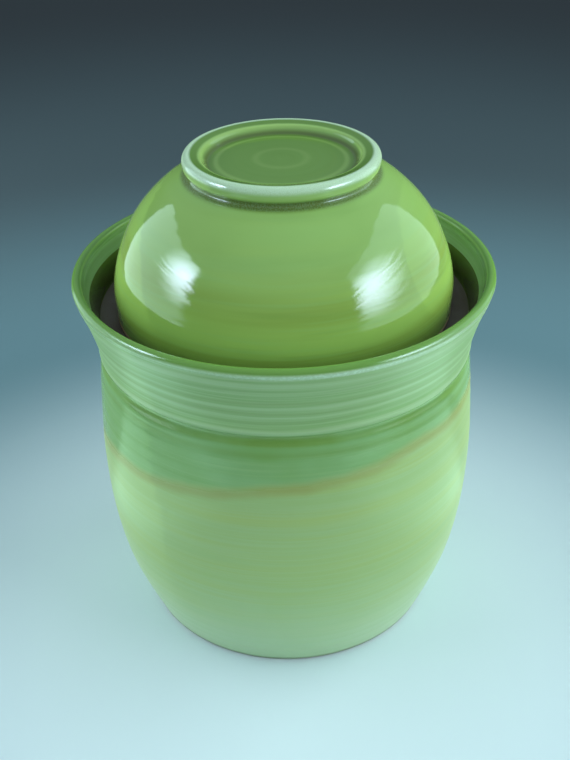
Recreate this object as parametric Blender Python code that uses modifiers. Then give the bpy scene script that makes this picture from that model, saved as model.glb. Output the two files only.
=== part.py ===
"""A water-seal ceramic fermenting crock with a bowl for its lid and two half-moon weights.

Run it with  blender --background --python part.py  or from Blender's text editor.

Everything is in metres with +Z up. The origin is the centre of the crock's foot, on the surface
that it stands on, and every turned piece shares the Z axis. Outlines are written as (radius,
height) pairs in millimetres, because that is how a potter measures them, and MM scales them.

The crock's collar stands outside its neck, and the water between the two is the seal. The
lid is a bowl turned upside down, whose rim stands in that water on the moat's floor.
"""

import math

import bmesh
import bpy
from mathutils import Vector

MM = 0.001
TURN_STEPS = 40
HOLE_STEPS = 20
WEIGHT_STEPS = 16
WELD = 0.01
CLEARANCE = 0.3

# Driving dimensions, in millimetres.
LIP_RADIUS = 100.0
LIP_HEIGHT = 188.3
LIP_HALF_THICKNESS = 2.6

BELLY_RADIUS = 95.8
FOOT_RADIUS = 75.4
FOOT_INNER_RADIUS = 62.0
FOOT_RECESS = 3.0
FLOOR_HEIGHT = 10.0

GROOVE_RADIUS = 91.7
GROOVE_HEIGHT = 150.2

NECK_INNER_RADIUS = 64.5
NECK_THICKNESS = 5.5
NECK_TOP = 192.3
MOAT_FLOOR = 168.3

BOWL_RADIUS = 82.6
BOWL_RIM_RADIUS = 79.8
BOWL_RIM_HALF_THICKNESS = 2.2
BOWL_FOOT_RADIUS = 46.3
BOWL_FOOT_TOP = 247.8
BOWL_FOOT_FLOOR = 243.0
BOWL_INSIDE_TOP = 235.3

NOTCH_RADIUS = 3.0

WEIGHT_RADIUS = 61.0
WEIGHT_THICKNESS = 13.0
WEIGHT_GAP = 2.4
WEIGHT_EDGE = 1.5
WEIGHT_HOLE_RADIUS = 8.5
WEIGHT_HOLE_REACH = 30.0


def clear_scene():
    for thing in list(bpy.data.objects):
        bpy.data.objects.remove(thing, do_unlink=True)


def new_collection(name):
    collection = bpy.data.collections.new(name)
    bpy.context.scene.collection.children.link(collection)
    return collection


def ceramic(name, colour, roughness):
    material = bpy.data.materials.new(name)
    material.use_nodes = True
    shader = material.node_tree.nodes["Principled BSDF"]
    shader.inputs["Base Color"].default_value = (*colour, 1.0)
    shader.inputs["Roughness"].default_value = roughness
    shader.inputs["Metallic"].default_value = 0.0
    return material


def smooth_through(points, pieces):
    """A Catmull-Rom curve through the points, with this many straight pieces between each two."""
    points = [Vector(point) for point in points]
    ends = [2 * points[0] - points[1], *points, 2 * points[-1] - points[-2]]
    curve = []
    for a, b, c, d in zip(ends, ends[1:], ends[2:], ends[3:]):
        for step in range(pieces):
            t = step / pieces
            along = (c - a) * t + (2 * a - 5 * b + 4 * c - d) * t**2
            along += (3 * b - a - 3 * c + d) * t**3
            curve.append(tuple(b + along / 2))
    curve.append(tuple(points[-1]))
    return curve


def arc(centre, radius, start, stop, pieces):
    """Points on an arc in the (radius, height) plane. Degrees run from outwards to upwards."""
    angles = [math.radians(start + (stop - start) * step / pieces) for step in range(pieces + 1)]
    return [(centre[0] + radius * math.cos(a), centre[1] + radius * math.sin(a)) for a in angles]


def turned(name, outline, collection):
    """A solid of revolution. The outline starts and ends on the axis and runs down the outside."""
    mesh = bpy.data.meshes.new(name)
    points = [(radius * MM, 0.0, height * MM) for radius, height in outline]
    edges = [(index, index + 1) for index in range(len(points) - 1)]
    mesh.from_pydata(points, edges, [])
    thing = bpy.data.objects.new(name, mesh)
    collection.objects.link(thing)
    screw = thing.modifiers.new("Turn", "SCREW")
    screw.axis = "Z"
    screw.angle = math.tau
    screw.steps = TURN_STEPS
    screw.render_steps = TURN_STEPS
    screw.use_merge_vertices = True
    screw.merge_threshold = WELD * MM
    screw.use_smooth_shade = True
    return thing


def cylinder(name, radius, length, location, turn, collection):
    bpy.ops.mesh.primitive_cylinder_add(
        vertices=HOLE_STEPS, radius=radius * MM, depth=length * MM, location=location, rotation=turn
    )
    thing = bpy.context.object
    thing.name = name
    for old in list(thing.users_collection):
        old.objects.unlink(thing)
    collection.objects.link(thing)
    return thing


def make_cutter(thing):
    thing.hide_render = True
    thing.display_type = "WIRE"
    return thing


def cut(thing, cutter):
    boolean = thing.modifiers.new("Cut " + cutter.name, "BOOLEAN")
    boolean.operation = "DIFFERENCE"
    boolean.solver = "EXACT"
    boolean.object = cutter


def crock_inside():
    """From the centre of the crock's floor up its wall, under the moat and up inside the neck."""
    floor = [(0.0, FLOOR_HEIGHT), (WEIGHT_RADIUS + 2.0, FLOOR_HEIGHT)]
    wall = smooth_through(
        [
            (WEIGHT_RADIUS + 6.5, FLOOR_HEIGHT + 2.2),
            (73.5, 20.0),
            (81.0, 36.0),
            (BELLY_RADIUS - 7.6, 62.0),
            (BELLY_RADIUS - 6.2, 95.0),
            (BELLY_RADIUS - 7.4, 130.0),
            (86.0, 149.0),
            (79.0, 159.5),
            (69.0, 162.8),
            (NECK_INNER_RADIUS, 168.0),
        ],
        2,
    )
    return floor + wall


def neck_lip():
    half = NECK_THICKNESS / 2
    return arc((NECK_INNER_RADIUS + half, NECK_TOP - half), half, 180, 0, 4)


def moat():
    """Down the outside of the neck, across the moat's floor and up inside the flared collar."""
    neck_outer = NECK_INNER_RADIUS + NECK_THICKNESS
    fillet = 2.6
    corner = arc((neck_outer + fillet, MOAT_FLOOR + fillet), fillet, 180, 270, 2)
    flare = smooth_through(
        [
            (88.2, MOAT_FLOOR),
            (90.6, MOAT_FLOOR + 1.4),
            (91.8, MOAT_FLOOR + 4.4),
            (94.6, MOAT_FLOOR + 12.4),
        ],
        2,
    )
    return corner + flare


def collar_lip():
    return arc((LIP_RADIUS, LIP_HEIGHT), LIP_HALF_THICKNESS, 180, 0, 6)


def crock_outside():
    """Down the flared collar, over its bead, through the groove and round the belly."""
    collar = smooth_through(
        [
            (101.3, LIP_HEIGHT - 4.5),
            (98.4, 176.3),
            (95.4, 166.5),
            (93.4, 158.0),
            (93.1, 153.4),
        ],
        2,
    )
    groove = [(92.6, 151.8), (GROOVE_RADIUS, GROOVE_HEIGHT)]
    belly = smooth_through(
        [
            (GROOVE_RADIUS + 0.3, GROOVE_HEIGHT - 2.0),
            (93.1, 143.6),
            (94.6, 125.0),
            (BELLY_RADIUS, 96.0),
            (94.2, 64.0),
            (90.0, 38.0),
            (83.6, 18.0),
            (76.9, 1.0),
        ],
        3,
    )
    return collar + groove + belly


def crock_foot():
    recess_edge = FOOT_INNER_RADIUS - 2.0
    return [
        (FOOT_RADIUS, 0.0),
        (FOOT_INNER_RADIUS, 0.0),
        (recess_edge, FOOT_RECESS),
        (0.0, FOOT_RECESS),
    ]


def make_crock(collection):
    outline = crock_inside() + neck_lip() + moat() + collar_lip() + crock_outside() + crock_foot()
    crock = turned("crock", outline, collection)
    crock.data.materials.append(ceramic("crock_glaze", (0.35, 0.52, 0.24), 0.3))
    return crock


def bowl_foot():
    """From the centre of the foot's recess, over the foot ring and into the undercut below it."""
    inner_edge = 1.6
    outer_edge = 3.0
    inner_centre = (38.5, BOWL_FOOT_TOP - 2.6)
    outer_centre = (BOWL_FOOT_RADIUS - outer_edge, BOWL_FOOT_TOP - outer_edge)
    recess = smooth_through(
        [
            (0.0, BOWL_FOOT_FLOOR + 1.2),
            (22.0, BOWL_FOOT_FLOOR + 0.8),
            (34.4, BOWL_FOOT_FLOOR),
        ],
        2,
    )
    inner = arc(inner_centre, inner_edge, 170, 100, 2)
    outer = arc(outer_centre, outer_edge, 100, 0, 4)
    undercut = [(46.1, 242.3), (45.4, 241.0), (44.2, 239.4), (44.4, 238.4)]
    return recess + inner + outer + undercut


def bowl_outside():
    return smooth_through(
        [
            (47.6, 237.3),
            (55.9, 232.3),
            (64.7, 224.3),
            (71.2, 216.3),
            (75.7, 208.3),
            (79.7, 198.3),
            (82.1, 188.5),
            (BOWL_RADIUS, 181.3),
            (BOWL_RIM_RADIUS + BOWL_RIM_HALF_THICKNESS, 172.0),
        ],
        2,
    )


def bowl_rim():
    rim_floor = MOAT_FLOOR + CLEARANCE
    centre = (BOWL_RIM_RADIUS, rim_floor + BOWL_RIM_HALF_THICKNESS)
    return arc(centre, BOWL_RIM_HALF_THICKNESS, 0, -180, 4)


def bowl_inside():
    return smooth_through(
        [
            (77.6, 176.0),
            (76.8, 186.0),
            (73.4, 200.0),
            (67.4, 213.0),
            (58.6, 223.2),
            (46.0, 230.6),
            (26.0, 234.6),
            (0.0, BOWL_INSIDE_TOP),
        ],
        2,
    )


def make_lid(collection, cutters):
    """The lid, with a gas notch through its rim at +X and another at -X."""
    outline = bowl_foot() + bowl_outside() + bowl_rim() + bowl_inside()
    lid = turned("lid_bowl", outline, collection)
    notch = cylinder(
        "notch_cutter",
        NOTCH_RADIUS,
        3 * BOWL_RADIUS,
        (0.0, 0.0, (MOAT_FLOOR + CLEARANCE) * MM),
        (0.0, math.pi / 2, 0.0),
        cutters,
    )
    cut(lid, make_cutter(notch))
    lid.data.materials.append(ceramic("lid_glaze", (0.28, 0.47, 0.09), 0.15))
    return lid


def make_weight(name, side, collection, cutters):
    """A half disc with a finger hole. Side is -1 for the half at -X and +1 for the half at +X."""
    flat = WEIGHT_GAP / 2
    low = math.degrees(math.asin(flat / WEIGHT_RADIUS))
    rim = arc((0.0, 0.0), WEIGHT_RADIUS, low - 90, 90 - low, WEIGHT_STEPS)
    curve = bpy.data.curves.new(name, "CURVE")
    curve.dimensions = "2D"
    curve.fill_mode = "BOTH"
    curve.extrude = WEIGHT_THICKNESS / 2 * MM
    spline = curve.splines.new("POLY")
    spline.points.add(len(rim) - 1)
    for point, (x, y) in zip(spline.points, rim):
        point.co = (side * x * MM, y * MM, 0.0, 1.0)
    spline.use_cyclic_u = True
    outline = bpy.data.objects.new(name + "_outline", curve)
    collection.objects.link(outline)
    outline.location.z = (FLOOR_HEIGHT + CLEARANCE + WEIGHT_THICKNESS / 2) * MM
    bpy.context.view_layer.update()
    weight = solid_from_curve(outline, name, collection)
    hole = cylinder(
        name + "_hole_cutter",
        WEIGHT_HOLE_RADIUS,
        3 * WEIGHT_THICKNESS,
        (side * WEIGHT_HOLE_REACH * MM, 0.0, weight.location.z),
        (0.0, 0.0, 0.0),
        cutters,
    )
    cut(weight, make_cutter(hole))
    edge = weight.modifiers.new("Edge", "BEVEL")
    edge.width = WEIGHT_EDGE * MM
    edge.segments = 2
    edge.limit_method = "ANGLE"
    edge.angle_limit = math.radians(50)
    weight.data.materials.append(ceramic("stoneware", (0.55, 0.45, 0.34), 0.7))
    return weight


def solid_from_curve(outline, name, collection):
    """The filled, extruded outline as a mesh with its caps welded on."""
    graph = bpy.context.evaluated_depsgraph_get()
    mesh = bpy.data.meshes.new_from_object(outline.evaluated_get(graph))
    work = bmesh.new()
    work.from_mesh(mesh)
    bmesh.ops.remove_doubles(work, verts=work.verts, dist=WELD * MM)
    bmesh.ops.recalc_face_normals(work, faces=work.faces)
    work.to_mesh(mesh)
    work.free()
    mesh.name = name
    solid = bpy.data.objects.new(name, mesh)
    solid.matrix_world = outline.matrix_world
    collection.objects.link(solid)
    bpy.data.objects.remove(outline)
    return solid


def main():
    clear_scene()
    pieces = new_collection("fermenting_crock")
    cutters = new_collection("cutters")
    make_crock(pieces)
    make_lid(pieces, cutters)
    make_weight("weight_left", -1, pieces, cutters)
    make_weight("weight_right", 1, pieces, cutters)
    cutters.hide_render = True


main()
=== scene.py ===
import math
from collections import namedtuple

import bpy
import numpy as np
from mathutils import Matrix, Vector


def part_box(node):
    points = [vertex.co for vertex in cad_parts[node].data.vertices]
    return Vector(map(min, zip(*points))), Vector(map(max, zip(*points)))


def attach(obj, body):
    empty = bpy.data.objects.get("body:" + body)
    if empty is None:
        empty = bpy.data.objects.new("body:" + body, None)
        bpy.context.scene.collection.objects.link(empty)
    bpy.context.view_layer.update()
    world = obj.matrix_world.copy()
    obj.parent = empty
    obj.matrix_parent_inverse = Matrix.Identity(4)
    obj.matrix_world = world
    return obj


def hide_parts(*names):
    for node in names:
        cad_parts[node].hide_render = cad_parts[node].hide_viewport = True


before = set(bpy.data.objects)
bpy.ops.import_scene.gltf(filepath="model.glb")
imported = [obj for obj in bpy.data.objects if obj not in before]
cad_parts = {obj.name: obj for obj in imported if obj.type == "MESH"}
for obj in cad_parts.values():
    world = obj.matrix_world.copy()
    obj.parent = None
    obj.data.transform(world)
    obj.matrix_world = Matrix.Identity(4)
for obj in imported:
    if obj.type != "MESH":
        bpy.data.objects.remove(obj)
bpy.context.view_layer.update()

# The looks of a water-seal fermenting crock: thrown stoneware under celadon and olive glazes.
# Lengths of the pieces are in millimetres until a mesh is written, and MM makes them metres.
# Lights and camera are in metres. Turned pieces share the Z axis, and a point of an outline is
# (radius, height).

MM = 0.001
crock_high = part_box("crock")[1] / MM
lid_low, lid_high = (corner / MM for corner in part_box("lid_bowl"))
weight_low, weight_high = (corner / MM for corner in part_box("weight_right"))

# Driving dimensions, each from the frame or as the frame's own outline has it.
CLEARANCE = 0.3
LIP_HALF_THICKNESS = 2.6
LIP_RADIUS = crock_high.x - LIP_HALF_THICKNESS
LIP_HEIGHT = crock_high.z - 4.0
NECK_TOP = crock_high.z
NECK_HALF_THICKNESS = 2.75
NECK_INNER_RADIUS = 64.5
MOAT_FLOOR = lid_low.z - CLEARANCE
MOAT_FILLET = 2.6
FLOOR_HEIGHT = weight_low.z - CLEARANCE
WEIGHT_RADIUS = weight_high.y + 0.1
BELLY_RADIUS = LIP_RADIUS - 4.2
GROOVE_HEIGHT = 150.2
GROOVE_RADIUS = 91.7
FOOT_RADIUS = 75.4
FOOT_INNER_RADIUS = 62.0
FOOT_RECESS = 3.0
BOWL_RADIUS = lid_high.x
BOWL_RIM_HALF_THICKNESS = 2.2
BOWL_RIM_RADIUS = BOWL_RADIUS - 2.8
BOWL_FOOT_TOP = lid_high.z
BOWL_FOOT_FLOOR = BOWL_FOOT_TOP - 4.8
BOWL_FOOT_RADIUS = 46.3
BOWL_INSIDE_TOP = BOWL_FOOT_TOP - 12.5
NOTCH_RADIUS = 3.0

# Steps round the axis, and how far apart the points of a mesh are where it has to be that fine.
STEPS_ROUND = 200
RIM_SPACING = 0.5
LIP_SPACING = 0.6
COLLAR_SPACING = 0.7
FINE = 1.0
COARSE = 2.2
WEIGHT_VOXEL = 0.9

# Finger marks fade out towards the axis, and an edge over this angle stays sharp.
FADE_RADIUS = 12.0
SHARP_ANGLE = math.radians(50)


# ---------------------------------------------------------------- outlines


def smooth_through(points, pieces=10):
    """A Catmull-Rom curve through the points, with this many straight pieces between each two."""
    points = [Vector(point) for point in points]
    ends = [2 * points[0] - points[1], *points, 2 * points[-1] - points[-2]]
    curve = []
    for a, b, c, d in zip(ends, ends[1:], ends[2:], ends[3:]):
        for step in range(pieces):
            t = step / pieces
            along = (c - a) * t + (2 * a - 5 * b + 4 * c - d) * t**2
            along += (3 * b - a - 3 * c + d) * t**3
            curve.append(tuple(b + along / 2))
    curve.append(tuple(points[-1]))
    return curve


def arc(centre, radius, start, stop, pieces=12):
    """Points on an arc in the (radius, height) plane. Degrees run from outwards to upwards."""
    angles = np.radians(np.linspace(start, stop, pieces + 1))
    return [(centre[0] + radius * math.cos(a), centre[1] + radius * math.sin(a)) for a in angles]


def crock_inside():
    """The jar's floor, and its wall up to the neck."""
    floor = [(0.0, FLOOR_HEIGHT), (WEIGHT_RADIUS + 2.0, FLOOR_HEIGHT)]
    wall = [
        (WEIGHT_RADIUS + 6.5, FLOOR_HEIGHT + 2.2),
        (73.5, 20.0),
        (81.0, 36.0),
        (BELLY_RADIUS - 7.6, 62.0),
        (BELLY_RADIUS - 6.2, 95.0),
        (BELLY_RADIUS - 7.4, 130.0),
        (86.0, 149.0),
        (79.0, 159.5),
        (69.0, 162.8),
        (NECK_INNER_RADIUS, 168.0),
    ]
    return floor, smooth_through(wall)


def neck():
    """The neck's straight inner side, and its round top."""
    half = NECK_HALF_THICKNESS
    top_centre = (NECK_INNER_RADIUS + half, NECK_TOP - half)
    return [(NECK_INNER_RADIUS, NECK_TOP - half)], arc(top_centre, half, 180, 0)


def moat():
    """The corner beside the neck, the floor of bare clay, and the glazed outer side."""
    clay_points = 11
    corner_radius = NECK_INNER_RADIUS + 2 * NECK_HALF_THICKNESS + MOAT_FILLET
    corner = arc((corner_radius, MOAT_FLOOR + MOAT_FILLET), MOAT_FILLET, 180, 270, 6)
    flare = smooth_through(
        [
            (88.2, MOAT_FLOOR),
            (90.6, MOAT_FLOOR + 1.4),
            (91.8, MOAT_FLOOR + 4.4),
            (94.6, MOAT_FLOOR + 12.4),
        ]
    )
    return corner, flare[:clay_points], flare[clay_points:]


def collar_lip():
    return arc((LIP_RADIUS, LIP_HEIGHT), LIP_HALF_THICKNESS, 180, 0, 16)


def crock_collar():
    collar = [
        (101.3, LIP_HEIGHT - 4.5),
        (98.4, 176.3),
        (95.4, 166.5),
        (93.4, 158.0),
        (93.1, 153.4),
        (92.6, 151.8),
        (GROOVE_RADIUS, GROOVE_HEIGHT),
    ]
    return smooth_through(collar)


def crock_belly():
    belly = [
        (GROOVE_RADIUS, GROOVE_HEIGHT),
        (GROOVE_RADIUS + 0.3, GROOVE_HEIGHT - 2.0),
        (93.1, 143.6),
        (94.6, 125.0),
        (BELLY_RADIUS, 96.0),
        (94.2, 64.0),
        (90.0, 38.0),
        (83.6, 18.0),
        (76.9, 1.0),
    ]
    return smooth_through(belly)


def crock_foot():
    """The ring that the jar stands on, and the recess within it."""
    ring = [(FOOT_RADIUS, 0.0), (FOOT_INNER_RADIUS, 0.0)]
    recess = [(FOOT_INNER_RADIUS - 2.0, FOOT_RECESS), (0.0, FOOT_RECESS)]
    return ring, recess


def bowl_foot():
    inner_edge = 1.6
    outer_edge = 3.0
    inner_centre = (38.5, BOWL_FOOT_TOP - 2.6)
    outer_centre = (BOWL_FOOT_RADIUS - outer_edge, BOWL_FOOT_TOP - outer_edge)
    recess = [(0.0, BOWL_FOOT_FLOOR + 1.2), (22.0, BOWL_FOOT_FLOOR + 0.8), (34.4, BOWL_FOOT_FLOOR)]
    inner = arc(inner_centre, inner_edge, 170, 100, 8)
    outer = arc(outer_centre, outer_edge, 100, 0)
    undercut = smooth_through([(46.1, 242.3), (45.4, 241.0), (44.2, 239.4), (44.4, 238.4)], 5)
    return smooth_through(recess) + inner + outer + undercut


def bowl_outside():
    wall = [
        (47.6, 237.3),
        (55.9, 232.3),
        (64.7, 224.3),
        (71.2, 216.3),
        (75.7, 208.3),
        (79.7, 198.3),
        (82.1, 188.5),
        (BOWL_RADIUS, 181.3),
        (BOWL_RIM_RADIUS + BOWL_RIM_HALF_THICKNESS, 172.0),
    ]
    return smooth_through(wall)


def bowl_rim():
    centre = (BOWL_RIM_RADIUS, lid_low.z + BOWL_RIM_HALF_THICKNESS)
    return arc(centre, BOWL_RIM_HALF_THICKNESS, 0, -180)


def bowl_inside():
    wall = [
        (77.6, 176.0),
        (76.8, 186.0),
        (73.4, 200.0),
        (67.4, 213.0),
        (58.6, 223.2),
        (46.0, 230.6),
        (26.0, 234.6),
        (0.0, BOWL_INSIDE_TOP),
    ]
    return smooth_through(wall)


# ---------------------------------------------------------------- turned meshes


# One stretch of an outline. Ripple is how deep its finger marks are, pitch the height of one
# mark, and wobble how far the slow unevenness goes.
Stretch = namedtuple("Stretch", "points spacing material ripple wobble pitch")


def spaced(stretches):
    """One outline of evenly spaced points from the stretches, and a table of what each has."""
    outline, table = [], []
    for stretch in stretches:
        path = np.array(outline[-1:] + list(stretch.points), float)
        path = path[np.concatenate([[True], np.hypot(*np.diff(path, axis=0).T) > 1e-6])]
        along = np.concatenate([[0.0], np.cumsum(np.hypot(*np.diff(path, axis=0).T))])
        at = np.linspace(0.0, along[-1], max(1, math.ceil(along[-1] / stretch.spacing)) + 1)
        new = np.column_stack([np.interp(at, along, path[:, axis]) for axis in (0, 1)])
        new = new[1 if outline else 0 :]
        outline.extend(map(tuple, new))
        row = (stretch.material, stretch.ripple, stretch.wobble, stretch.pitch)
        table.extend([row] * len(new))
    return np.array(outline), np.array(table, float)


def softened(values):
    """The values averaged over their neighbours, so that one stretch fades into the next."""
    width = 9
    kernel = np.hanning(width + 2)[1:-1]
    padded = np.pad(values, width // 2, mode="edge")
    return np.convolve(padded, kernel / kernel.sum(), mode="valid")


def ring_marks(turns, seed):
    """Finger marks against the number of turns, from -1 in the hollows to 0 on the ridges."""
    phase = np.random.default_rng(seed).uniform(0, math.tau, 3)
    shape = np.cos(math.tau * turns + phase[0])
    shape += 0.45 * np.cos(2 * math.tau * turns + phase[1])
    shape += 0.25 * np.cos(3 * math.tau * turns + phase[2])
    return np.clip(shape / 3.4 - 0.5, -1.0, 0.0)


def slow_waves(along, theta, seed):
    """The gentle unevenness that hands leave, from -1 to 0, around and along the outline."""
    draw = np.random.default_rng(seed)
    total = np.zeros(along.shape)
    for lobes in (2, 3, 5):
        for length in (190.0, 75.0):
            phase = draw.uniform(0, math.tau, 2)
            around = np.cos(lobes * theta + phase[0])
            total += around * np.cos(math.tau * along / length + phase[1])
    return np.clip(total / 8 - 0.5, -1.0, 0.0)


def uneven_surface(outline, table, seed):
    """A grid of points, a ring for each point of the outline but its two ends, in metres.

    All unevenness goes inwards, into the clay, and none of it is on the axis.
    """
    tangent = np.gradient(outline, axis=0)
    tangent /= np.maximum(np.hypot(tangent[:, 0], tangent[:, 1]), 1e-9)[:, None]
    out_of_clay = np.column_stack([-tangent[:, 1], tangent[:, 0]])
    gaps = np.hypot(*np.diff(outline, axis=0).T)
    along = np.concatenate([[0.0], np.cumsum(gaps)])
    turns = np.concatenate([[0.0], np.cumsum(gaps / softened(table[1:, 3]))])
    turns += 0.22 * np.sin(along / 11.0 + seed) + 0.12 * np.sin(along / 4.3)
    from_axis = np.clip(outline[:, 0] / FADE_RADIUS, 0.0, 1.0)
    swell = 0.65 + 0.35 * np.sin(along / 17.0 + seed)
    ripple = softened(table[:, 1]) * swell * from_axis
    wobble = softened(table[:, 2]) * from_axis

    theta, far = np.meshgrid(np.arange(STEPS_ROUND) * math.tau / STEPS_ROUND, along)
    push = ripple[:, None] * ring_marks(turns[:, None] + theta / math.tau, seed)
    push += wobble[:, None] * slow_waves(far, theta, seed + 1)
    radius = outline[:, :1] + push * out_of_clay[:, :1]
    height = outline[:, 1:] + push * out_of_clay[:, 1:]
    return np.stack([radius * np.cos(theta), radius * np.sin(theta), height], -1)[1:-1] * MM


def turned(name, stretches, seed):
    """A closed fine mesh of the turned outline, with one point on the axis at each end."""
    outline, table = spaced(stretches)
    outline[0, 0] = outline[-1, 0] = 0.0
    rings = uneven_surface(outline, table, seed)
    ends = [[0.0, 0.0, outline[0, 1] * MM], [0.0, 0.0, outline[-1, 1] * MM]]
    points = np.vstack([rings.reshape(-1, 3), ends])

    rows = len(rings)
    here = np.arange(rows * STEPS_ROUND).reshape(rows, STEPS_ROUND)
    beside = np.roll(here, -1, axis=1)
    first, last = rows * STEPS_ROUND, rows * STEPS_ROUND + 1
    quads = np.stack([here[:-1], here[1:], beside[1:], beside[:-1]], -1).reshape(-1, 4)
    faces = quads.tolist()
    faces += [(first, a, b) for a, b in zip(here[0].tolist(), beside[0].tolist())]
    faces += [(last, b, a) for a, b in zip(here[-1].tolist(), beside[-1].tolist())]
    mesh = bpy.data.meshes.new(name)
    mesh.from_pydata(points.tolist(), [], faces)
    material = np.concatenate([table[2:-1, 0], table[[1, -1], 0]]).astype(np.int32)
    mesh.polygons.foreach_set("material_index", np.repeat(material, STEPS_ROUND))
    mesh.shade_smooth()
    mesh.set_sharp_from_angle(angle=SHARP_ANGLE)
    piece = bpy.data.objects.new(name, mesh)
    bpy.context.scene.collection.objects.link(piece)
    return piece


# ---------------------------------------------------------------- shader words


# Where the Mix node has its share, its two colours and its result when it mixes colours.
MIX_SHARE, MIX_FROM, MIX_TO, MIX_RESULT = 0, 6, 7, 2


def srgb(red, green, blue):
    """A linear colour from the 0 to 255 numbers that a paint chip is given in."""
    shares = [value / 255 for value in (red, green, blue)]
    linear = [s / 12.92 if s <= 0.04045 else ((s + 0.055) / 1.055) ** 2.4 for s in shares]
    return (*linear, 1.0)


class Words:
    """Short words for adding nodes to one tree, of a material, a light or the world."""

    def __init__(self, tree):
        self.tree = tree

    def node(self, kind, inputs=None, **settings):
        node = self.tree.nodes.new("ShaderNode" + kind)
        for key, value in settings.items():
            setattr(node, key, value)
        for key, value in (inputs or {}).items():
            self.put(node.inputs[key], value)
        return node

    def put(self, socket, value):
        if isinstance(value, bpy.types.NodeSocket):
            self.tree.links.new(value, socket)
        else:
            socket.default_value = value

    def math(self, operation, *values):
        return self.node("Math", dict(enumerate(values)), operation=operation).outputs[0]

    def add(self, *terms):
        total = terms[0]
        for term in terms[1:]:
            total = self.math("ADD", total, term)
        return total

    def times(self, *terms):
        total = terms[0]
        for term in terms[1:]:
            total = self.math("MULTIPLY", total, term)
        return total

    def vector(self, operation, a, b):
        return self.node("VectorMath", {0: a, 1: b}, operation=operation).outputs[0]

    def length(self, vector):
        return self.node("VectorMath", {0: vector}, operation="LENGTH").outputs["Value"]

    def rise(self, value, low, high, start=0.0, stop=1.0):
        """Start below low, stop above high and a smooth change between, from 0 to 1 if not told."""
        inputs = {"Value": value, "From Min": low, "From Max": high}
        inputs.update({"To Min": start, "To Max": stop})
        node = self.node("MapRange", inputs, interpolation_type="SMOOTHSTEP")
        return node.outputs["Result"]

    def fall(self, value, low, high):
        """1 below low, 0 above high and a smooth fall between."""
        return self.rise(value, low, high, 1.0, 0.0)

    def mix(self, share, a, b):
        inputs = {MIX_SHARE: share, MIX_FROM: a, MIX_TO: b}
        return self.node("Mix", inputs, data_type="RGBA").outputs[MIX_RESULT]


class Graph(Words):
    """The words for one material. Its places are in millimetres."""

    def __init__(self, name):
        self.material = bpy.data.materials.new(name)
        self.material.use_nodes = True
        super().__init__(self.material.node_tree)
        self.shader = self.tree.nodes["Principled BSDF"]
        metres = self.node("TexCoord").outputs["Object"]
        self.place = self.vector("MULTIPLY", metres, (1 / MM, 1 / MM, 1 / MM))
        self.x, self.y, self.z = self.node("SeparateXYZ", {0: self.place}).outputs
        self.radius = self.length(self.vector("MULTIPLY", self.place, (1.0, 1.0, 0.0)))

    def bump_at(self, value, middle, half_width):
        """1 at the middle, falling smoothly to 0 at half_width to either side."""
        away = self.math("ABSOLUTE", self.math("SUBTRACT", value, middle))
        return self.fall(away, 0.0, half_width)

    def noise(self, place, scale, detail=2.0, roughness=0.5):
        inputs = {"Vector": place, "Scale": scale, "Detail": detail, "Roughness": roughness}
        return self.node("TexNoise", inputs).outputs["Fac"]

    def rings(self, around, across, detail=3.0):
        """Noise drawn out into rings round the axis: long steps around, short steps across."""
        squeezed = self.vector("MULTIPLY", self.place, (around, around, 0.0))
        step = self.add(self.times(self.z, across), self.times(self.radius, across * 0.8))
        place = self.vector("ADD", squeezed, self.node("CombineXYZ", {"Z": step}).outputs[0])
        return self.noise(place, 1.0, detail)

    def finish(self, colour, roughness, relief=None, relief_depth=0.0):
        self.put(self.shader.inputs["Base Color"], colour)
        self.put(self.shader.inputs["Roughness"], roughness)
        if relief is not None:
            inputs = {"Strength": 1.0, "Distance": relief_depth * MM, "Height": relief}
            self.put(self.shader.inputs["Normal"], self.node("Bump", inputs).outputs["Normal"])
        return self.material


# ---------------------------------------------------------------- glazes and clays

SPRING_GREEN = srgb(152, 189, 119)
WARM_GREEN = srgb(157, 189, 110)
COOL_GREEN = srgb(172, 202, 162)
PALE_GREEN = srgb(158, 195, 134)
BAND_GREEN = srgb(120, 169, 95)
BAND_BLUE = srgb(128, 178, 113)
COLLAR_GREEN = srgb(129, 177, 104)
COLLAR_MILK = srgb(172, 208, 156)
ROSE_TAN = srgb(150, 166, 134)
OCHRE = srgb(146, 158, 84)
POOLED_GREEN = srgb(108, 150, 64)
LIP_GREEN = srgb(100, 151, 64)
OLIVE = srgb(139, 177, 82)
BRIGHT_OLIVE = srgb(148, 193, 95)
HAZE_GREEN = srgb(141, 193, 108)
DEEP_OLIVE = srgb(68, 114, 20)
SHADE_OLIVE = srgb(56, 67, 30)
RING_GREEN = srgb(154, 198, 112)
GREY_GREEN = srgb(100, 130, 88)
BROWN_OLIVE = srgb(82, 98, 40)
MILKY_GREEN = srgb(194, 232, 200)
BUFF_CLAY = srgb(190, 170, 140)
# The grey clay here and the dark clay two lines down are the moat floor's, darkened with painted
# shade for the shadow in the moat.
SHADED_GREY_CLAY = srgb(96, 92, 84)
TOASTED_CLAY = srgb(164, 128, 92)
SHADED_DARK_CLAY = srgb(78, 68, 56)
IRON_SPECK = srgb(70, 48, 34)

# The second coat's lower edge is a tilted plane: its height on the axis and its slopes.
DIP_HEIGHT = 120.8
DIP_TILT_X = 0.138
DIP_TILT_Y = -0.037

# Finger lines: the height of each, the half of its width, and how far it shows.
PALE_LINES = [
    (182.0, 3.4, 0.45),
    (176.6, 1.2, 0.25),
    (167.6, 1.7, 0.50),
    (162.0, 1.3, 0.45),
    (153.8, 2.2, 0.60),
]
DARK_LINES = [
    (170.6, 1.5, 0.35),
    (164.4, 1.1, 0.30),
    (159.2, 1.2, 0.25),
    (141.4, 2.8, 0.40),
]

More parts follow.
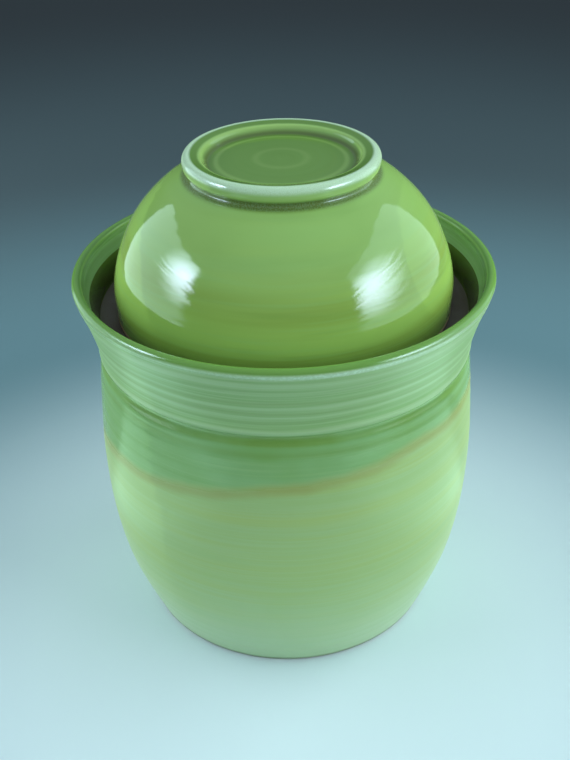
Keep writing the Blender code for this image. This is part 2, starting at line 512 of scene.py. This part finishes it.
# Landmarks on the lid's foot ring: heights first, then radii from the axis outwards.
UNDERCUT_HEIGHT = 238.8
RING_HEIGHT = 240.8
RING_BREAK_HEIGHT = 243.3
RING_EDGE_HEIGHT = 244.2
RING_SLOPE_HEIGHT = 245.4
INNER_CUT_RADIUS = 12.0
OUTER_CUT_RADIUS = 30.4
RECESS_RADIUS = 33.0
GUTTER_RADIUS = 35.0
RING_EDGE_RADIUS = 37.4
RING_SLOPE_RADIUS = 37.8
RING_BREAK_RADIUS = 41.7
RING_SIDE_RADIUS = 43.8
UNDERCUT_RADIUS = 45.0


def above_dip_line(g):
    """The height above the second coat's ragged lower edge."""
    tilt = g.add(g.times(g.x, DIP_TILT_X), g.times(g.y, DIP_TILT_Y), DIP_HEIGHT)
    ragged = g.times(g.math("SUBTRACT", g.noise(g.place, 0.035, 2.0), 0.5), 6.0)
    return g.math("SUBTRACT", g.z, g.add(tilt, ragged))


def satin_coat(g, broad, fine_rings):
    """The first coat, with paler rings, and paler and cooler towards the foot, partly the glaze's
    own tone and partly a painted reflection of the pale floor.
    """
    soft_rings = g.rings(0.006, 0.16, 2.0)
    colour = g.mix(g.rise(soft_rings, 0.35, 0.68), SPRING_GREEN, WARM_GREEN)
    colour = g.mix(g.times(g.rise(fine_rings, 0.40, 0.66), 0.42), colour, PALE_GREEN)
    # Painted reflection of the pale floor, all round: paler and cooler towards the foot.
    floor_reflection_at_foot = g.fall(g.add(g.z, g.times(broad, 30.0)), 15.0, 90.0)
    return g.mix(g.times(floor_reflection_at_foot, 0.8), colour, COOL_GREEN)


def glossy_coat(g, broad, fine_rings):
    """The second coat, as it shows under the groove."""
    colour = g.mix(g.rise(broad, 0.35, 0.65), BAND_BLUE, BAND_GREEN)
    return g.mix(g.times(g.rise(fine_rings, 0.45, 0.75), 0.22), colour, PALE_GREEN)


def collar_coat(g, fine_rings, hairlines):
    """The second coat on the collar, where it is thin and the clay's hairlines show."""
    colour = g.mix(g.times(g.rise(fine_rings, 0.35, 0.7), 0.38), COLLAR_GREEN, COLLAR_MILK)
    return g.mix(g.times(g.rise(hairlines, 0.5, 0.72), 0.30), colour, ROSE_TAN)


def finger_lines(g, colour, broad):
    """Pale lines where the glaze breaks over ridges, and dark ones where it pools."""
    level = g.add(g.z, g.times(g.math("SUBTRACT", broad, 0.5), 2.4))
    for lines, tone in ((PALE_LINES, COLLAR_MILK), (DARK_LINES, POOLED_GREEN)):
        for height, half_width, share in lines:
            line = g.bump_at(level, height, half_width)
            colour = g.mix(g.times(line, share), colour, tone)
    pooled = g.bump_at(g.z, GROOVE_HEIGHT - 1.8, 4.6)
    share = g.add(0.25, g.times(g.rise(broad, 0.3, 0.65), 0.55))
    return g.mix(g.times(g.rise(pooled, 0.1, 0.75), share), colour, POOLED_GREEN)


def lip_tones(g, colour):
    """Milky where the glaze breaks over the lip, deep on its top, with a pale line inside."""
    outwards = g.rise(g.radius, LIP_RADIUS - 0.4, LIP_RADIUS + 0.6)
    speckle = g.times(g.rise(g.noise(g.place, 0.8, 2.0), 0.44, 0.62), 0.30)
    thin_glaze = g.add(0.30, g.times(g.bump_at(g.x, 28.0, 85.0), 0.70))
    lip_break = g.times(g.bump_at(g.z, LIP_HEIGHT - 0.9, 2.2), outwards, thin_glaze)
    colour = g.mix(g.times(lip_break, g.add(speckle, 0.75)), colour, MILKY_GREEN)
    colour = g.mix(g.rise(g.z, LIP_HEIGHT + 0.2, LIP_HEIGHT + 1.3), colour, LIP_GREEN)
    near_top = g.rise(g.z, LIP_HEIGHT, LIP_HEIGHT + 1.0)
    inner_line = g.times(g.bump_at(g.radius, LIP_RADIUS - 2.1, 0.7), near_top)
    return g.mix(g.times(inner_line, 0.8), colour, RING_GREEN)


def crock_glaze():
    """Celadon in two coats: a satin one all over, and a glossy one down to a tilted dip line."""
    g = Graph("crock_glaze")
    broad = g.noise(g.place, 0.022, 3.0)
    fine_rings = g.rings(0.012, 0.85)
    hairlines = g.rings(0.02, 2.6, 2.0)
    above = above_dip_line(g)
    coated = g.rise(above, -1.8, 5.0)
    above_groove = g.rise(g.z, GROOVE_HEIGHT + 0.4, GROOVE_HEIGHT + 1.6)

    colour = g.mix(coated, satin_coat(g, broad, fine_rings), glossy_coat(g, broad, fine_rings))
    edge = g.times(g.bump_at(above, -0.6, 5.4), g.rise(broad, 0.05, 0.5))
    colour = g.mix(g.times(edge, 0.70), colour, OCHRE)
    colour = g.mix(above_groove, colour, collar_coat(g, fine_rings, hairlines))
    colour = lip_tones(g, finger_lines(g, colour, broad))
    # A darker line just above the foot: the glaze's edge, with a painted contact shadow where the
    # jar meets the table.
    glaze_edge_and_shadow = g.fall(g.z, 1.2, 3.4)
    colour = g.mix(g.times(glaze_edge_and_shadow, 0.85), colour, GREY_GREEN)

    gloss = g.math("MAXIMUM", coated, above_groove)
    on_collar = g.times(above_groove, g.fall(g.z, LIP_HEIGHT - 3.0, LIP_HEIGHT))
    smoother, rougher = g.times(gloss, -0.13), g.times(on_collar, 0.15)
    roughness = g.add(0.28, smoother, rougher, g.times(fine_rings, 0.06))
    relief = g.add(g.times(fine_rings, 0.7), g.times(hairlines, 0.3))
    return g.finish(colour, roughness, relief, 0.05)


def foot_ring_tones(g, colour):
    """The lid's foot ring: darker in its recess and gutter, a painted dark reflection on its top
    slope and a painted shadow in its undercut, and pale where the glaze breaks over an edge, with
    painted highlights there.
    """
    on_foot = g.rise(g.z, RING_HEIGHT, RING_HEIGHT + 1.0)
    recess = g.times(g.fall(g.radius, RECESS_RADIUS, RECESS_RADIUS + 3.0), on_foot)
    colour = g.mix(g.times(recess, 0.78), colour, DEEP_OLIVE)
    inner_cut = g.times(g.bump_at(g.radius, INNER_CUT_RADIUS, 3.0), 0.4)
    cuts = g.add(g.bump_at(g.radius, OUTER_CUT_RADIUS, 2.2), inner_cut)
    colour = g.mix(g.times(cuts, on_foot, 0.30), colour, RING_GREEN)
    side = g.times(on_foot, g.rise(g.radius, RING_SIDE_RADIUS, RING_SIDE_RADIUS + 1.2))
    lines = g.times(g.rise(g.rings(0.01, 1.8, 2.0), 0.4, 0.7), 0.35)
    colour = g.mix(side, colour, g.mix(lines, RING_GREEN, HAZE_GREEN))
    # Painted reflection: the ring's top slope is dark, as the dark backdrop shows in it.
    dark_reflection_slope = g.times(g.rise(g.radius, RING_SLOPE_RADIUS, RING_SLOPE_RADIUS + 1.8), on_foot)
    dark_reflection_slope = g.times(dark_reflection_slope, g.rise(g.z, RING_SLOPE_HEIGHT, RING_SLOPE_HEIGHT + 1.0))
    colour = g.mix(g.times(dark_reflection_slope, 0.85), colour, DEEP_OLIVE)
    # The ring's pale inner edge: thin glaze, with a painted highlight.
    near_top = g.rise(g.z, RING_EDGE_HEIGHT, RING_EDGE_HEIGHT + 1.2)
    inner_edge = g.times(g.bump_at(g.radius, RING_EDGE_RADIUS, 1.5), near_top)
    colour = g.mix(g.times(inner_edge, 0.85), colour, RING_GREEN)
    gutter = g.times(g.bump_at(g.radius, GUTTER_RADIUS, 2.4), on_foot)
    colour = g.mix(g.times(gutter, 0.75), colour, SHADE_OLIVE)

    # The ring's milky, crazed outer edge: thin glaze breaking over the edge, with a painted
    # highlight.
    crackle = g.node("TexVoronoi", {"Vector": g.place, "Scale": 1.1}, feature="DISTANCE_TO_EDGE")
    crazed = g.fall(crackle.outputs["Distance"], 0.0, 0.12)
    milky = g.mix(g.times(crazed, 0.30), MILKY_GREEN, HAZE_GREEN)
    milky_edge_highlight = g.rise(g.radius, RING_BREAK_RADIUS, RING_BREAK_RADIUS + 1.6)
    milky_edge_highlight = g.times(milky_edge_highlight, g.rise(g.z, RING_BREAK_HEIGHT, RING_BREAK_HEIGHT + 2.9))
    colour = g.mix(g.times(milky_edge_highlight, 0.95), colour, milky)
    # Painted shadow in the undercut beneath the ring: a dark speckled band, over glaze that pools
    # there.
    speckle = g.noise(g.place, 1.4, 3.0, 0.7)
    dark = g.mix(g.rise(speckle, 0.42, 0.60), BROWN_OLIVE, GREY_GREEN)
    near = g.bump_at(g.radius, UNDERCUT_RADIUS, 4.6)
    under = g.times(g.bump_at(g.z, UNDERCUT_HEIGHT, 3.6), near)
    return g.mix(g.times(g.rise(under, 0.0, 0.8), 0.85), colour, dark)


def olive_glaze(name, moat_shade):
    """The glaze of the lid, and of the liner: thin and milky where it breaks over edges, and
    darkened with painted shade by moat_shade, most of all low down between the neck and the collar.
    """
    g = Graph(name)
    mottle = g.rings(0.012, 0.22, 3.0)
    fine_rings = g.rings(0.014, 0.7)
    soft_rings = g.rings(0.006, 0.14, 2.0)
    # Painted reflection: the lid's upper part is paler, as the pale ceiling shows in the glaze
    # there.
    ceiling_reflection = g.rise(g.add(g.z, g.times(mottle, 16.0)), 211.0, 238.0)
    colour = g.mix(g.rise(soft_rings, 0.35, 0.65), OLIVE, BRIGHT_OLIVE)
    colour = g.mix(g.times(ceiling_reflection, 0.7), colour, HAZE_GREEN)
    colour = g.mix(g.times(g.rise(mottle, 0.5, 0.75), 0.16), colour, DEEP_OLIVE)
    colour = g.mix(g.times(g.rise(fine_rings, 0.46, 0.68), 0.36), colour, HAZE_GREEN)
    bright_rings = g.rise(g.rings(0.01, 0.45, 2.0), 0.5, 0.7)
    colour = g.mix(g.times(bright_rings, 0.40), colour, BRIGHT_OLIVE)

    # Painted shade: moat_shade pulls the whole glaze towards brown olive, so that the liner is a
    # shaded copy of the lid's glaze, and darkens it further low down between the neck and the
    # collar, where the moat lies in shadow.
    colour = g.mix(moat_shade * 0.72, colour, BROWN_OLIVE)
    low_down = g.bump_at(g.z, MOAT_FLOOR - 2.0, 25.0)
    moat_shadow = g.times(g.rise(g.radius, NECK_INNER_RADIUS, 78.0), low_down)
    colour = g.mix(g.times(g.rise(moat_shadow, 0.1, 0.95), moat_shade), colour, SHADE_OLIVE)
    colour = foot_ring_tones(g, colour)

    roughness = g.add(0.05, g.times(mottle, 0.05))
    return g.finish(colour, roughness, g.add(g.times(fine_rings, 0.7), mottle), 0.035)


def fired_clay(name, light, dark):
    """Bare stoneware: fine grog, iron specks and the drag lines of throwing and trimming."""
    g = Graph(name)
    grain = g.noise(g.place, 2.2, 4.0, 0.7)
    blush = g.noise(g.place, 0.03, 3.0)
    rings = g.rings(0.01, 0.9)
    colour = g.mix(g.rise(blush, 0.35, 0.7), light, dark)
    colour = g.mix(g.times(g.rise(grain, 0.45, 0.75), 0.3), colour, dark)
    specks = g.noise(g.place, 0.9, 1.0)
    colour = g.mix(g.times(g.rise(specks, 0.72, 0.76), 0.8), colour, IRON_SPECK)
    relief = g.add(g.times(grain, 0.6), g.times(rings, 0.8))
    return g.finish(colour, g.add(0.62, g.times(grain, 0.25)), relief, 0.12)


# ---------------------------------------------------------------- the pieces


def paint(piece, *materials):
    for material in materials:
        piece.data.materials.append(material)


def dress(piece, body, node):
    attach(piece, body)
    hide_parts(node)


def evaluated_mesh(piece):
    """The piece's mesh as its modifiers leave it. The modifiers are then removed."""
    graph = bpy.context.evaluated_depsgraph_get()
    mesh = bpy.data.meshes.new_from_object(piece.evaluated_get(graph))
    piece.modifiers.clear()
    piece.data = mesh
    mesh.name = piece.name
    return mesh


def make_crock():
    outside, inside, moat_clay, foot_clay = range(4)
    floor, wall = crock_inside()
    neck_side, neck_top = neck()
    moat_corner, moat_floor, moat_side = moat()
    foot_ring, foot_recess = crock_foot()
    stretches = [
        Stretch(floor, COARSE, inside, 0.10, 0.0, 7.0),
        Stretch(wall, COARSE, inside, 0.35, 0.3, 9.0),
        Stretch(neck_side, FINE, inside, 0.12, 0.15, 5.0),
        Stretch(neck_top, LIP_SPACING, inside, 0.0, 0.15, 5.0),
        Stretch(moat_corner, FINE, inside, 0.08, 0.15, 5.0),
        Stretch(moat_floor, FINE, moat_clay, 0.0, 0.0, 5.0),
        Stretch(moat_side, FINE, inside, 0.06, 0.1, 4.0),
        Stretch(collar_lip(), LIP_SPACING, outside, 0.0, 0.25, 4.0),
        Stretch(crock_collar(), COLLAR_SPACING, outside, 0.10, 0.25, 2.7),
        Stretch(crock_belly(), FINE, outside, 0.16, 0.35, 8.0),
        Stretch(foot_ring, FINE, foot_clay, 0.0, 0.0, 4.0),
        Stretch(foot_recess, COARSE, foot_clay, 0.12, 0.0, 3.0),
    ]
    crock = turned("crock_fired", stretches, seed=3)
    # The moat floor's bare clay, darkened with painted shade.
    clay = fired_clay("moat_clay", SHADED_GREY_CLAY, SHADED_DARK_CLAY)
    foot = fired_clay("foot_clay", BUFF_CLAY, TOASTED_CLAY)
    # The liner takes most of the painted shade, the lid's glaze only a little.
    paint(crock, crock_glaze(), olive_glaze("liner_glaze", 0.92), clay, foot)
    dress(crock, "crock", "crock")


def cut_notches(lid, clay):
    """Cuts the gas notches, a half-round channel through the rim along X, and bares its clay."""
    bpy.ops.mesh.primitive_cylinder_add(
        vertices=48,
        radius=NOTCH_RADIUS * MM,
        depth=3 * BOWL_RADIUS * MM,
        location=(0, 0, lid_low.z * MM),
    )
    cutter = bpy.context.object
    cutter.rotation_euler.y = math.pi / 2
    cutter.data.materials.append(clay)
    notches = lid.modifiers.new("Notches", "BOOLEAN")
    notches.operation = "DIFFERENCE"
    notches.solver = "MANIFOLD"
    notches.object = cutter
    evaluated_mesh(lid)
    bpy.data.objects.remove(cutter)


def make_lid():
    glaze, clay = range(2)
    stretches = [
        Stretch(bowl_foot(), LIP_SPACING, glaze, 0.04, 0.05, 4.5),
        Stretch(bowl_outside(), FINE, glaze, 0.05, 0.3, 6.0),
        Stretch(bowl_rim(), RIM_SPACING, clay, 0.0, 0.0, 5.0),
        Stretch(bowl_inside(), COARSE, glaze, 0.2, 0.25, 7.0),
    ]
    lid = turned("lid_bowl_fired", stretches, seed=11)
    rim_clay = fired_clay("rim_clay", BUFF_CLAY, TOASTED_CLAY)
    paint(lid, olive_glaze("lid_glaze", 0.12), rim_clay)
    cut_notches(lid, rim_clay)
    dress(lid, "lid", "lid_bowl")


def make_weight(node, body):
    """The weight's own CAD solid, remeshed fine, with its corners worn round by the fingers."""
    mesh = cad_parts[node].data.copy()
    mesh.materials.clear()
    piece = bpy.data.objects.new(node + "_fired", mesh)
    bpy.context.scene.collection.objects.link(piece)
    remesh = piece.modifiers.new("Fine", "REMESH")
    remesh.mode = "VOXEL"
    remesh.voxel_size = WEIGHT_VOXEL * MM
    smooth = piece.modifiers.new("Worn", "SMOOTH")
    smooth.factor = 0.5
    smooth.iterations = 4
    evaluated_mesh(piece).shade_smooth()
    paint(piece, fired_clay(node + "_clay", BUFF_CLAY, TOASTED_CLAY))
    dress(piece, body, node)


# ---------------------------------------------------------------- stage, lights and camera


# The tabletop: how far it reaches, the Y of the middle of its pool of light, the tone there, and
# the tones that it fades into, each between two distances from that middle.
FLOOR_REACH = 12.0
FLOOR_ROUGHNESS = 0.9
POOL_OF_LIGHT = -80.0
POOL_TONE = srgb(196, 222, 229)
FLOOR_TONES = [
    (120.0, 370.0, srgb(84, 119, 128)),
    (380.0, 720.0, srgb(58, 77, 83)),
    (800.0, 1400.0, srgb(42, 53, 58)),
]

# The world: slate up to one slope of the view and its ceiling from the other.
HORIZON = srgb(51, 62, 67)
CEILING = srgb(200, 215, 225)
SLATE_UP_TO = 0.02
CEILING_FROM = 0.75
WORLD_STRENGTH = 0.85

# Colours of the lights, and how far to the side the softboxes stand.
CLOTH_LIGHT = (0.60, 0.68, 1.0)
TABLE_LIGHT = (0.52, 0.95, 0.72)
THIN_CLOTH = (1.0, 1.25, 0.88, 1.0)
WHITE = (1.0, 1.0, 1.0, 1.0)
FILL_LIGHT = (1.0, 1.0, 0.98)
LIGHT_REACH = 0.60

# The cloth, in shares of it: how far it stops short of its softbox's front, how ragged its edge is
# low down and everywhere, how many folds it has, and how tall the lamp behind it shows.
CLOTH_INSET = 0.10
RAGGED_LOW = 0.30
RAGGED_LEAST = 0.04
FOLDS = 5.0
LAMP_HEIGHT = 0.42

# The lights of one side, -1 at -X or +1 at +X: from front to back in Y and from low to high, how
# bright the cloth and the fill are, and the lamp behind the cloth. The lamp's place and width are
# shares of the cloth, forward from its back edge and up, and gain is what it adds.
Side = namedtuple(
    "Side", "name sign front back low high cloth fill lamp_forward lamp_up lamp_width gain seed"
)
LEFT = Side("left", -1, -0.35, 0.54, 0.05, 0.62, 2.8, 3.5, 0.84, 0.70, 0.34, 9.3, 2.3)
RIGHT = Side("right", 1, -0.62, 0.46, 0.10, 0.74, 2.0, 4.8, 0.74, 0.50, 0.36, 11.0, 7.7)

# A low panel at the table on each side, and a weak fill in front. Sizes are (width, height).
TABLE_SIZE = (0.35, 0.22)
TABLE_PLACE = Vector((0.26, -0.125, 0.003))
TABLE_BRIGHTNESS = 1.25
FRONT_SIZE = (0.90, 0.70)
FRONT_PLACE = (0.0, -0.75, 0.45)
FRONT_BRIGHTNESS = 0.4

# The camera: its place in front of and above the lip, and in radians how far it looks down and
# its slight roll.
CAMERA_PLACE = (-0.0004, -0.5051, LIP_HEIGHT * MM + 0.25)
CAMERA_DOWN = 0.558
CAMERA_ROLL = 0.02
CAMERA_LENS = 54.5
SENSOR_HEIGHT = 36.0


def make_floor():
    """A pale tabletop that falls away into a slate shade outside the pool of light."""
    bpy.ops.mesh.primitive_circle_add(
        vertices=96, radius=FLOOR_REACH, fill_type="NGON", location=(0, 0, 0)
    )
    floor = bpy.context.object
    floor.name = "floor"
    g = Graph("floor_pale")
    away = g.length(g.vector("SUBTRACT", g.place, (0.0, POOL_OF_LIGHT, 0.0)))
    colour = POOL_TONE
    for start, stop, tone in FLOOR_TONES:
        colour = g.mix(g.rise(away, start, stop), colour, tone)
    floor.data.materials.append(g.finish(colour, FLOOR_ROUGHNESS))


def make_world():
    """Slate at the horizon, where it meets the floor, and pale overhead, as a studio ceiling is."""
    world = bpy.data.worlds.new("studio")
    bpy.context.scene.world = world
    world.use_nodes = True
    w = Words(world.node_tree)
    direction = w.node("SeparateXYZ", {0: w.node("TexCoord").outputs["Generated"]})
    share = w.rise(direction.outputs["Z"], SLATE_UP_TO, CEILING_FROM)
    background = w.tree.nodes["Background"]
    w.put(background.inputs["Color"], w.mix(share, HORIZON, CEILING))
    w.put(background.inputs["Strength"], WORLD_STRENGTH)


def area_light(name, place, turn, size, brightness, colour):
    """A rectangular light of this (width, height), which the camera doesn't see."""
    light = bpy.data.lights.new(name, "AREA")
    light.shape = "RECTANGLE"
    light.size, light.size_y = size
    light.energy = brightness * math.pi * size[0] * size[1]
    light.color = colour
    thing = bpy.data.objects.new(name, light)
    thing.location = place
    thing.rotation_euler = turn
    thing.visible_camera = False
    bpy.context.scene.collection.objects.link(thing)
    return thing


def softbox(name, side, brightness, colour):
    """An upright area light over the whole of a side."""
    place = (side.sign * LIGHT_REACH, (side.front + side.back) / 2, (side.low + side.high) / 2)
    turn = Vector((-side.sign, 0.0, 0.0)).to_track_quat("-Z", "Y").to_euler()
    size = (side.back - side.front, side.high - side.low)
    return area_light(name, place, turn, size, brightness, colour)


def hang_cloth(light, side):
    """Shades a softbox like cloth that hangs in folds, with a lamp close behind one place."""
    light.use_nodes = True
    w = Words(light.node_tree)
    place = w.node("SeparateXYZ", {0: w.node("NewGeometry").outputs["Parametric"]})
    across, up = place.outputs["X"], place.outputs["Y"]
    forward = across if side.sign < 0 else w.math("SUBTRACT", 1.0, across)
    step = w.math("MULTIPLY_ADD", up, FOLDS, side.seed)
    fold = w.node("TexNoise", {"W": step}, noise_dimensions="1D").outputs["Fac"]
    ragged = w.math("MULTIPLY_ADD", w.fall(up, 0.50, 0.80), RAGGED_LOW, RAGGED_LEAST)
    folded = w.times(w.math("SUBTRACT", fold, 0.5), ragged)
    forward = w.add(forward, CLOTH_INSET, folded)
    edge = w.fall(forward, 0.98, 1.07)

    beside = w.math("SUBTRACT", forward, side.lamp_forward + CLOTH_INSET)
    beside = w.math("DIVIDE", beside, side.lamp_width)
    above = w.math("DIVIDE", w.math("SUBTRACT", up, side.lamp_up), LAMP_HEIGHT)
    close = w.fall(w.length(w.node("CombineXYZ", {"X": beside, "Y": above}).outputs[0]), 0.0, 1.0)
    glow = w.math("MULTIPLY_ADD", close, side.gain, 1.0)
    emission = w.tree.nodes["Emission"]
    w.put(emission.inputs["Color"], w.mix(close, THIN_CLOTH, WHITE))
    w.put(emission.inputs["Strength"], w.times(glow, edge))


def make_lights():
    """On each side a cloth that shows in the glaze, and a plain fill that lights the clay.

    A low panel at the table on each side shows only in the glaze, and a fill in front is weak.
    """
    for side in (LEFT, RIGHT):
        tent = softbox(side.name + "_tent", side, side.cloth, CLOTH_LIGHT)
        tent.visible_diffuse = False
        hang_cloth(tent.data, side)
        fill = softbox(side.name + "_fill", side, side.fill, FILL_LIGHT)
        fill.visible_glossy = False
        place = (side.sign * TABLE_PLACE.x, TABLE_PLACE.y, TABLE_PLACE.z)
        upwards = (0.0, math.pi, math.pi / 2)
        table = area_light(
            side.name + "_table", place, upwards, TABLE_SIZE, TABLE_BRIGHTNESS, TABLE_LIGHT
        )
        table.visible_diffuse = False
    backwards = (math.pi / 2, 0.0, 0.0)
    front = area_light(
        "front_fill", FRONT_PLACE, backwards, FRONT_SIZE, FRONT_BRIGHTNESS, FILL_LIGHT
    )
    front.visible_glossy = False


def make_camera():
    camera = bpy.data.cameras.new("camera")
    camera.sensor_fit = "VERTICAL"
    camera.sensor_height = SENSOR_HEIGHT
    camera.lens = CAMERA_LENS
    thing = bpy.data.objects.new("camera", camera)
    thing.location = CAMERA_PLACE
    tip = Matrix.Rotation(math.pi / 2 - CAMERA_DOWN, 4, "X")
    roll = Matrix.Rotation(-CAMERA_ROLL, 4, "Z")
    thing.rotation_euler = (tip @ roll).to_euler()
    bpy.context.scene.collection.objects.link(thing)
    bpy.context.scene.camera = thing


make_camera()
make_crock()
make_lid()
make_weight("weight_left", "left_weight")
make_weight("weight_right", "right_weight")
make_floor()
make_world()
make_lights()
bpy.context.scene.view_settings.view_transform = "Standard"
